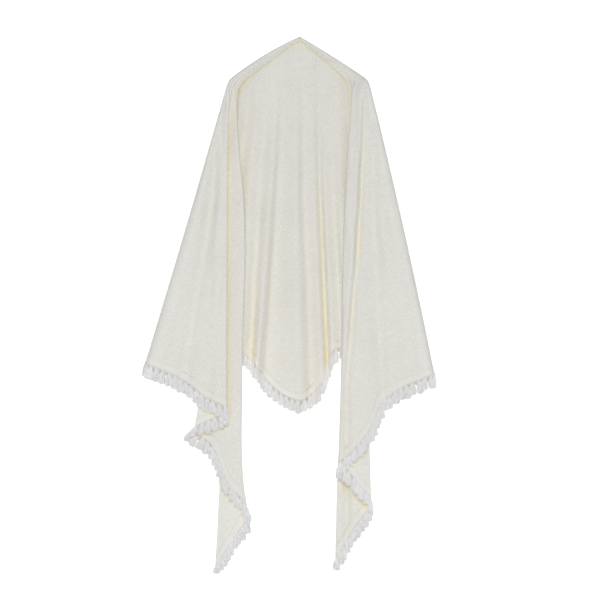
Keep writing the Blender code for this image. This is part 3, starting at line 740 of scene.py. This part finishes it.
def hem_at(side, s):
    """Lower and upper edge of the tape at the fine columns."""
    known, low, top = HEMS[side]
    return np.interp(s, known, low), np.interp(s, known, top)


def cloth_grid(side):
    """Points of one of the three grids, rows from the slope to the hem."""
    if side == "back":
        low, top = hem_at(side, BACK_S)
        drops = BACK_TOP + (top + TUCK - BACK_TOP) * FALL_SHARES[:, None]
        points = back_points(np.broadcast_to(BACK_S, drops.shape), drops)
        sign = np.where(np.arange(len(BACK_S)) < NECK, -1, 1)
        reached = np.where(sign < 0, reach("left", BACK_TOP), reach("right", BACK_TOP))
        crest = along(LAYER_DROPS, CREST, BACK_TOP)
        points[0] = np.stack([sign * reached, crest, -BACK_TOP], -1)
        return points
    s = even_columns(side, FRONT_COLUMNS)
    low, top = hem_at(side, s)
    slope = BACK_TOP[NECK:0:-1] if side == "left" else BACK_TOP[NECK:-1]
    rows = [np.full(s.shape, drop) for drop in slope]
    fall = top + TUCK - SHOULDER_DROP
    rows += [SHOULDER_DROP + fall * share for share in FALL_SHARES]
    drops = np.array(rows)
    points = front_points(side, np.broadcast_to(s, drops.shape), drops)
    points[0, :, 0] = 0.0
    return points


GRIDS = {side: cloth_grid(side) for side in ("left", "back", "right")}
print("grids:", {side: GRIDS[side].shape[:2] for side in GRIDS})


# %% Meshes from grids
def grid_faces(rows, columns, start, flip=False):
    """Corner indices of each cell of a grid."""
    ids = np.arange(rows * columns).reshape(rows, columns) + start
    faces = np.stack([ids[:-1, :-1], ids[:-1, 1:], ids[1:, 1:], ids[1:, :-1]], -1)
    faces = faces.reshape(-1, 4)
    return faces[:, ::-1] if flip else faces


def grid_lengths(points):
    """Distances in metres over a grid: across the columns on the row two thirds
    down, and down each column. The weave is laid on by them."""
    row = points[len(points) * 2 // 3]
    u = np.concatenate([[0], np.cumsum(np.linalg.norm(np.diff(row, axis=0), axis=1))])
    down = np.linalg.norm(np.diff(points, axis=0), axis=2)
    v = np.concatenate([np.zeros((1, points.shape[1])), np.cumsum(down, axis=0)])
    return np.stack([np.broadcast_to(u, v.shape), v], -1) * CM


def lay_weave(mesh, uv):
    """Gives a mesh its weave's map, in metres, from one value a point."""
    layer = mesh.uv_layers.new(name="weave")
    corner = np.empty(len(mesh.loops), np.int32)
    mesh.loops.foreach_get("vertex_index", corner)
    layer.data.foreach_set("uv", np.asarray(uv, np.float32)[corner].ravel())


def close_up(mesh, merge=0.0):
    """Welds points nearer than `merge` and turns all faces outwards."""
    work = bmesh.new()
    work.from_mesh(mesh)
    if merge:
        bmesh.ops.remove_doubles(work, verts=work.verts, dist=merge)
        bmesh.ops.dissolve_degenerate(work, edges=work.edges, dist=merge / 2)
    bmesh.ops.recalc_face_normals(work, faces=work.faces)
    work.to_mesh(mesh)
    work.free()


def mesh_of(name, points, faces):
    """A mesh from an array of points in centimetres and a list of faces."""
    mesh = bpy.data.meshes.new(name)
    mesh.from_pydata((points.reshape(-1, 3) * CM).tolist(), [], faces)
    return mesh


points, faces, uvs, count = [], [], [], 0
for side, grid in GRIDS.items():
    rows, columns = grid.shape[:2]
    points.append(grid.reshape(-1, 3))
    faces.append(grid_faces(rows, columns, count, flip=side == "left"))
    uvs.append(grid_lengths(grid).reshape(-1, 2))
    count += rows * columns
faces = np.concatenate(faces).tolist()
cloth_mesh = mesh_of("shawl_cloth", np.concatenate(points), faces)
lay_weave(cloth_mesh, np.concatenate(uvs))
close_up(cloth_mesh, merge=2e-5)
cloth_mesh.shade_smooth()
cloth = put("shawl_cloth", cloth_mesh)
wall = cloth.modifiers.new("wall", "SOLIDIFY")
wall.thickness = CLOTH_WALL * CM
wall.offset = 0.0
print("cloth:", len(cloth.data.vertices), "points,", len(cloth.data.polygons), "cells")

# %% [markdown]
# ## The header tape
#
# The tape is a narrow woven band sewn over the cloth's raw edge. One closed profile,
# flat with a thin cord along each border and a thin tongue below, is carried along the
# whole hem, from one tip round the back to the other. The tongue is a sheet put where
# the gaps between the tops of the tassels are in shade, and its darker warm tone is a
# painted shade.

# %% Path of the hem
def unit(vectors):
    """Vectors scaled to length 1."""
    return vectors / (np.linalg.norm(vectors, axis=-1)[..., None] + 1e-12)


def hem_stretch(side):
    """Upper and lower edge of the tape and the way out of the cloth, by column."""
    s = BACK_S if side == "back" else even_columns(side, FRONT_COLUMNS)
    place = back_points if side == "back" else lambda s, d: front_points(side, s, d)
    low, top = hem_at(side, s)
    upper, lower = place(s, top), place(s, low)
    along_hem = np.gradient(lower, axis=0) + np.gradient(upper, axis=0)
    out = unit(np.cross(along_hem, lower - upper))
    if side == "back":
        out[0], out[-1] = outward("left", low[:1])[0], outward("right", low[-1:])[0]
        out[1:-1] *= np.sign(out[len(out) // 2, 1])
    else:
        sign = np.sign(out[4] @ (outward(side, low[:1])[0] + np.array([0, -2.0, 0])))
        out = out * sign
        out[0] = outward(side, low[:1])[0]
    return upper, lower, out


left, back, right = (hem_stretch(side) for side in ("left", "back", "right"))
UPPER, LOWER, OUT = (
    np.concatenate([left[k][::-1], back[k][1:-1], right[k]]) for k in range(3)
)
hem_length = np.linalg.norm(np.diff(LOWER, axis=0), axis=1)
print("hem length", round(hem_length.sum() * CM, 2), "m")

# %% Tape
TAPE_HALF = 0.11         # half the thickness of the band
CORD_HALF = 0.15         # and of the cord along each border
# The tongue stands in for the shade between the tassels' tops; its colour is a painted
# shade.
SHADE_TONGUE = 1.25            # how far the tongue hangs below the tape
SHADE_TONGUE_HALF = 0.05

# across the tape's width (0 at the top, 1 at the lower edge) and half thickness
TAPE_PROFILE = np.array([
    (0.00, 0.04), (0.015, 0.12), (0.06, CORD_HALF), (0.105, 0.12), (0.16, TAPE_HALF),
    (0.50, TAPE_HALF + 0.01), (0.84, TAPE_HALF), (0.895, 0.12), (0.94, CORD_HALF),
    (0.985, 0.12), (1.00, SHADE_TONGUE_HALF), (1.0 + SHADE_TONGUE / TAPE_WIDTH, SHADE_TONGUE_HALF),
])


def tape_rings():
    """Rings of the tape: profile points to one side of the cloth from top to
    bottom, and back up on the other side, for every column of the hem."""
    share, half = TAPE_PROFILE[:, 0], TAPE_PROFILE[:, 1]
    share = np.concatenate([share, share[::-1]])
    half = np.concatenate([half, -half[::-1]])
    down = (LOWER - UPPER)[:, None] * np.minimum(share, 1)[None, :, None]
    below = unit(unit(LOWER - UPPER) + np.array([0, 0, -0.8]))
    past = np.maximum(share - 1, 0) * TAPE_WIDTH
    down = down + below[:, None] * past[None, :, None]
    return UPPER[:, None] + down + OUT[:, None] * half[None, :, None]


rings = tape_rings()
count, around = rings.shape[:2]
ids = np.arange(count * around).reshape(count, around)
after = np.roll(ids, -1, axis=1)
sides = np.stack([ids[:-1], ids[1:], after[1:], after[:-1]], -1).reshape(-1, 4).tolist()
ends = [ids[0].tolist(), ids[-1, ::-1].tolist()]
walk = np.concatenate([[0], np.cumsum(hem_length)]) * CM
girth = np.concatenate([TAPE_PROFILE[:, 0], TAPE_PROFILE[::-1, 0]]) * TAPE_WIDTH * CM
tape_uv = np.stack(np.broadcast_arrays(walk[:, None], girth[None, :]), -1)
tape = mesh_of("header_tape", rings, sides + ends)
lay_weave(tape, tape_uv.reshape(-1, 2))
tape.shade_smooth()
close_up(tape)
header_tape = put("header_tape", tape)
print("tape:", len(tape.polygons), "faces")

# %% [markdown]
# ## The tassels
#
# Each tassel is a bunch of soft untwisted yarns. The bunch leaves the tape flat,
# draws in a little just below it, and then spreads into a brush that overlaps its
# neighbours, so only small drop-shaped gaps stay open near the tape. On a steep hem
# the bunches still hang nearly straight down, one over the next. Every yarn is a
# thin tube along its own slightly wavy path, and all are worked out together.

# %% Tassels
TASSEL_PITCH = 2.0
TASSEL_LENGTH = 4.25
TASSEL_LEAN = 0.5        # sideways share of a tassel's direction on an upright hem
SHORT_TIP = 0.62         # the last tassels of the left tip have this share of it
FLICK_DROP = 114.0       # drop below which the flicked corner is looked for
FLICK_REACH, FLICK = 4.4, 0.7  # how far round it tassels swing, and how much
YARN_SIDES = 5
SHARES = np.array([0.0, 0.10, 0.22, 0.38, 0.56, 0.76, 0.94, 1.0])
HALF_WIDTH = np.interp(
    SHARES, (0, 0.1, 0.22, 0.38, 0.6, 1), (0.43, 0.37, 0.50, 0.84, 0.96, 1.06)
)
HALF_DEPTH = np.interp(SHARES, (0, 0.1, 0.38, 0.76, 1), (0.10, 0.16, 0.26, 0.32, 0.24))
YARN_RADIUS = np.interp(SHARES, (0, 0.22, 0.8, 0.94, 1), (0.09, 0.15, 0.17, 0.12, 0.03))
FRONT_YARNS, BACK_YARNS = 8, 7
CORE_SIDES = 8


def tassel_roots(rng):
    """Places of the tassels at a nearly even pitch along the hem, each with the
    hem's direction, the way out of the cloth, the way off the tape and a length."""
    walked = np.concatenate([[0], np.cumsum(hem_length)])
    count = round(walked[-1] / TASSEL_PITCH)
    step = walked[-1] / count
    at = (np.arange(count) + 0.5 + rng.uniform(-0.09, 0.09, count)) * step

    def read(values):
        return np.stack([np.interp(at, walked, values[:, i]) for i in range(3)], -1)

    place, off = read(LOWER), unit(read(LOWER - UPPER))
    to_left_tip = np.linalg.norm(place - LOWER[0], axis=1) / 4
    length = TASSEL_LENGTH * (1 + 0.06 * rng.normal(0, 1, count))
    length = length * (SHORT_TIP + (1 - SHORT_TIP) * np.minimum(to_left_tip, 1))
    return place, unit(read(np.gradient(LOWER, axis=0))), unit(read(OUT)), off, length


def tassel_frames(roots, rng):
    """The way each tassel hangs, straight down with a lean off the tape, and its
    width's direction at the tape and at the loose end. The few round the outer
    corner of the left inner fall swing out sideways, as that corner flicks up."""
    place, hem, out, off, length = roots
    count = len(place)
    sideways = off * np.array([1, 1, 0.0])
    lean = rng.normal(0, 0.045, (count, 1))
    low = place[place[:, 2] < -FLICK_DROP]
    corner = low[np.argmin(low[:, 0])]
    near = np.exp(-(((place - corner) ** 2).sum(-1)) / FLICK_REACH**2)[:, None]
    flick = near * np.array([-FLICK, 0, 0])
    hang = unit(np.array([0, 0, -1.0]) + TASSEL_LEAN * sideways + lean * hem + flick)
    wide_end = unit(hem - hang * (hem * hang).sum(-1)[:, None])
    return hang, hem, wide_end


def tassel_shapes(roots, frames, rng, a, b, radius, sides):
    """Rings around lines that follow the bunch: root + hang * length * share, moved
    by a half widths along the bunch and b half depths out of it."""
    place, hem, out, off, length = roots
    hang, hem, wide_end = frames
    turn = ease(SHARES / 0.5)[:, None]
    wide = hem[:, None, None] * (1 - turn) + wide_end[:, None, None] * turn
    fullness = 1 + rng.normal(0, 0.05, (len(place), 1, 1))
    middle = (
        place[:, None, None]
        + hang[:, None, None] * (length * SHARES)[..., None]
        + wide * (a * HALF_WIDTH * fullness)[..., None]
        + out[:, None, None] * (b * HALF_DEPTH)[..., None]
    )
    angle = np.arange(sides) * 2 * math.pi / sides
    return (
        middle[..., None, :]
        + wide_end[:, None, None, None] * (radius[0] * np.cos(angle))[..., None]
        + out[:, None, None, None] * (radius[1] * np.sin(angle))[..., None]
    )


def tassel_yarns(roots, frames, rng):
    """Every yarn of every tassel, in a front and a back layer, each with a small
    wave of its own. Those at the sides are shorter, so the brush has a round end."""
    count = len(roots[0])
    spread = np.concatenate([
        np.linspace(-1, 1, FRONT_YARNS), np.linspace(-0.9, 0.9, BACK_YARNS),
    ])
    side = np.repeat([1.0, -1.0], (FRONT_YARNS, BACK_YARNS))
    yarns = len(spread)
    length = roots[4][:, None, None] * (1 - 0.09 * spread[None, :, None] ** 2)
    length = length * (1 + rng.normal(0, 0.025, (count, yarns, 1)))
    share = SHARES[None, None, :]
    a = spread[None, :, None] + rng.normal(0, 0.06, (count, yarns, 1)) * share
    b = side[None, :, None] * np.sqrt(1 - 0.5 * spread[None, :, None] ** 2)
    b = b + rng.normal(0, 0.12, (count, yarns, 1)) * share
    wave = rng.uniform(0, 2 * math.pi, (2, count, yarns, 1))
    a = a + 0.04 * np.sin(5.5 * share + wave[0]) * share
    b = b + 0.20 * np.sin(4.5 * share + wave[1]) * share
    thick = (1 + rng.normal(0, 0.08, (count, yarns, 1))) * YARN_RADIUS
    lines = (*roots[:4], length)
    return tassel_shapes(lines, frames, rng, a, b, (thick[..., None],) * 2, YARN_SIDES)


def tassel_cores(roots, frames, rng):
    """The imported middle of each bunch, one flat closed body that fills it."""
    centre = np.zeros((len(roots[0]), 1, len(SHARES)))
    close = np.interp(SHARES, (0, 0.94, 1), (1, 1, 0.3))
    wide = 0.86 * HALF_WIDTH * close
    deep = 0.8 * HALF_DEPTH * close
    lines = (*roots[:4], 0.93 * roots[4][:, None, None])
    radius = (wide[None, None, :, None], deep[None, None, :, None])
    return tassel_shapes(lines, frames, rng, centre, centre, radius, CORE_SIDES)


def tube_faces(tubes, rings, sides, start=0):
    """Side faces of many tubes at once, and a cap at each end of each tube."""
    ids = np.arange(tubes * rings * sides).reshape(tubes, rings, sides) + start
    after = np.roll(ids, -1, axis=2)
    around = np.stack([ids[:, :-1], after[:, :-1], after[:, 1:], ids[:, 1:]], -1)
    caps = ids[:, 0, ::-1].tolist() + ids[:, -1].tolist()
    return around.reshape(-1, 4).tolist() + caps


rng = np.random.default_rng(7)
roots = tassel_roots(rng)
frames = tassel_frames(roots, rng)
yarn_rings = tassel_yarns(roots, frames, rng)
core_rings = tassel_cores(roots, frames, rng)
walked_to = (np.arange(len(roots[0])) + 0.5) * walk[-1] / len(roots[0])
left_end = walk[len(left[0]) - 1]
right_start = walk[len(left[0]) + len(back[0]) - 3]
which = np.digitize(walked_to, (left_end, right_start))
tassels = {}
for k, name in enumerate(("tassels_front_left", "tassels_back", "tassels_front_right")):
    points, faces = [], []
    for rings in (yarn_rings[which == k], core_rings[which == k]):
        tubes, sides = rings.shape[0] * rings.shape[1], rings.shape[3]
        faces += tube_faces(tubes, len(SHARES), sides, sum(len(p) for p in points))
        points.append(rings.reshape(-1, 3))
    mesh = mesh_of(name, np.concatenate(points), faces)
    mesh.shade_smooth()
    tassels[name] = put(name, mesh)
    print(name, int((which == k).sum()), "tassels,", len(mesh.polygons), "faces")

# %% [markdown]
# ## Finishes
#
# The cloth is an ivory cotton and wool blend in a loose basket weave. It has no
# shine, a soft bloom at its edges, and small nubs where the thick yarn crosses.
# Light that has passed between close layers comes back warm, and this is painted into
# the colour: a painted warm shade turns it to straw where ambient occlusion finds a
# point enclosed, the same from every side. The tape is a closely woven white cotton
# band, a little cooler than the cloth, and the tongue below it has a painted shade. The
# tassels are brushed cotton yarn, dull, with fine streaks along their length.

# %% Woven ivory cloth
# The fold tint is a painted warm shade: where ambient occlusion finds a close fold it
# multiplies the colour, standing in for light that comes back warm between layers.
FOLD_REACH = 0.055       # metres over which a close fold is felt
FOLD_OPEN, FOLD_CLOSED = 0.80, 0.46  # openness at which the tint starts and is full
PAINTED_FOLD_SHADE = "#fbf3cc"
THREAD_RELIEF = 0.16     # height of the threads against that of the nubs
PATCH_SCALE, PATCH_TONE = 9.0, 0.24  # paler patches: fineness and strength
DARK_END, LIGHT_END = 0.37, 0.80     # where on the height the two tones lie


def two_tones(tree, value, low, high):
    """A ramp of a value between two tones, each a (value, hex colour) pair."""
    ramp = add(tree, "ShaderNodeValToRGB", {0: value})
    for stop, (at, tone) in zip(ramp.color_ramp.elements, (low, high)):
        stop.position, stop.color = at, linear(tone)
    return ramp.outputs[0]


def weave_material(name, light, dark, thread, nub, bump, painted_recess_shade=None):
    """Plain woven cloth: two crossed sine waves in the cloth's own measure make the
    threads, noise makes the nubs, and both shade the colour and the bump. A painted
    warm shade, set by ambient occlusion, is multiplied into the colour in close folds.
    `painted_recess_shade` gives a height on the map and the darker tone, a painted
    shade, that the weave has below it."""
    material, tree = new_material(name)
    weave_map = add(tree, "ShaderNodeUVMap", uv_map="weave")
    parts = add(tree, "ShaderNodeSeparateXYZ", {0: weave_map.outputs[0]})
    waves = []
    for axis in (0, 1):
        angle = add(tree, "ShaderNodeMath", {
            0: parts.outputs[axis], 1: 2 * math.pi / thread,
        }, operation="MULTIPLY")
        wave = add(tree, "ShaderNodeMath", {0: angle.outputs[0]}, operation="SINE")
        waves.append(wave)
    crossing = add(tree, "ShaderNodeMath", {
        0: waves[0].outputs[0], 1: waves[1].outputs[0],
    }, operation="MULTIPLY")
    place = add(tree, "ShaderNodeTexCoord")
    nubs = add(tree, "ShaderNodeTexNoise", {
        "Vector": place.outputs["Object"],
        "Scale": 1 / nub, "Detail": 3.0, "Roughness": 0.6,
    })
    patches = add(tree, "ShaderNodeTexNoise", {
        "Vector": place.outputs["Object"], "Scale": PATCH_SCALE, "Detail": 2.0,
    })
    height = add(tree, "ShaderNodeMath", {
        0: crossing.outputs[0], 1: THREAD_RELIEF, 2: nubs.outputs["Fac"],
    }, operation="MULTIPLY_ADD")
    mixed = add(tree, "ShaderNodeMath", {
        0: patches.outputs["Fac"], 1: PATCH_TONE, 2: height.outputs[0],
    }, operation="MULTIPLY_ADD")
    tone = two_tones(tree, mixed.outputs[0], (DARK_END, dark), (LIGHT_END, light))
    relief = add(tree, "ShaderNodeBump", {
        "Height": height.outputs[0], "Distance": 0.001, "Strength": bump,
    })
    # painted warm shade: the more ambient occlusion, the more of the straw tint goes
    # into the colour
    deep = add(tree, "ShaderNodeAmbientOcclusion", {"Distance": FOLD_REACH}, samples=8)
    painted_shade_share = add(tree, "ShaderNodeMapRange", {
        "Value": deep.outputs["AO"], "From Min": FOLD_OPEN, "From Max": FOLD_CLOSED,
    })
    # of a colour Mix node's sockets, 0 is the factor, 6 and 7 are the two colours
    colour = add(tree, "ShaderNodeMix", {
        0: painted_shade_share.outputs[0], 6: tone, 7: linear(PAINTED_FOLD_SHADE),
    }, data_type="RGBA", blend_type="MULTIPLY").outputs[2]
    # painted shade: below the tape's lower edge, on the tongue, the colour turns to a
    # darker warm tone
    if painted_recess_shade:
        below = add(tree, "ShaderNodeMath", {
            0: parts.outputs[1], 1: painted_recess_shade[0],
        }, operation="GREATER_THAN")
        colour = add(tree, "ShaderNodeMix", {
            0: below.outputs[0], 6: colour, 7: linear(painted_recess_shade[1]),
        }, data_type="RGBA").outputs[2]
    shader = add(tree, "ShaderNodeBsdfPrincipled", {
        "Base Color": colour, "Normal": relief.outputs[0],
        "Roughness": 0.95, "IOR": 1.45, "Specular IOR Level": 0.2,
        "Sheen Weight": 0.5, "Sheen Roughness": 0.4, "Sheen Tint": linear("#fffdf4"),
    })
    add(tree, "ShaderNodeOutputMaterial", {"Surface": shader.outputs[0]})
    return material


ivory = weave_material("ivory_basket_weave", "#fcf9ef", "#ede9dc", 0.0030, 0.0050, 0.8)
cotton_tape = weave_material(
    "white_woven_cotton_tape", "#fbf8f1", "#f2eee5", 0.0022, 0.0040, 0.4,
    # painted shade on the tongue below the tape
    painted_recess_shade=(1.02 * TAPE_WIDTH * CM, "#f4eedc"),
)
cloth.data.materials.append(ivory)
tape.materials.append(cotton_tape)

# %% Brushed cotton yarn
yarn, tree = new_material("brushed_cotton_yarn")
place = add(tree, "ShaderNodeTexCoord")
stretched = add(tree, "ShaderNodeMapping", {
    "Vector": place.outputs["Object"], "Scale": (520.0, 520.0, 60.0),
})
streaks = add(tree, "ShaderNodeTexNoise", {
    "Vector": stretched.outputs[0], "Scale": 1.0, "Detail": 2.0,
})
tone = two_tones(tree, streaks.outputs["Fac"], (0.3, "#f0eeea"), (0.75, "#fbf9f6"))
relief = add(tree, "ShaderNodeBump", {
    "Height": streaks.outputs["Fac"], "Distance": 0.0006, "Strength": 0.5,
})
yarn_shader = add(tree, "ShaderNodeBsdfPrincipled", {
    "Base Color": tone, "Normal": relief.outputs[0],
    "Roughness": 0.9, "Specular IOR Level": 0.25,
    "Sheen Weight": 0.3, "Sheen Roughness": 0.5,
})
add(tree, "ShaderNodeOutputMaterial", {"Surface": yarn_shader.outputs[0]})
for thing in tassels.values():
    thing.data.materials.append(yarn)
print("materials:", ivory.name, cotton_tape.name, yarn.name)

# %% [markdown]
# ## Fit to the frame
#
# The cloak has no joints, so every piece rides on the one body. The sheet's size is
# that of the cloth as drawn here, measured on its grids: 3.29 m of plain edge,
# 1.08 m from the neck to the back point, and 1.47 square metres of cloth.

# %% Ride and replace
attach(cloth, "root")
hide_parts("cloth_back", "cloth_front_left", "cloth_front_right")
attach(header_tape, "root")
for name, thing in tassels.items():
    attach(thing, "root")
    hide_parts(name.replace("tassels", "fringe"))
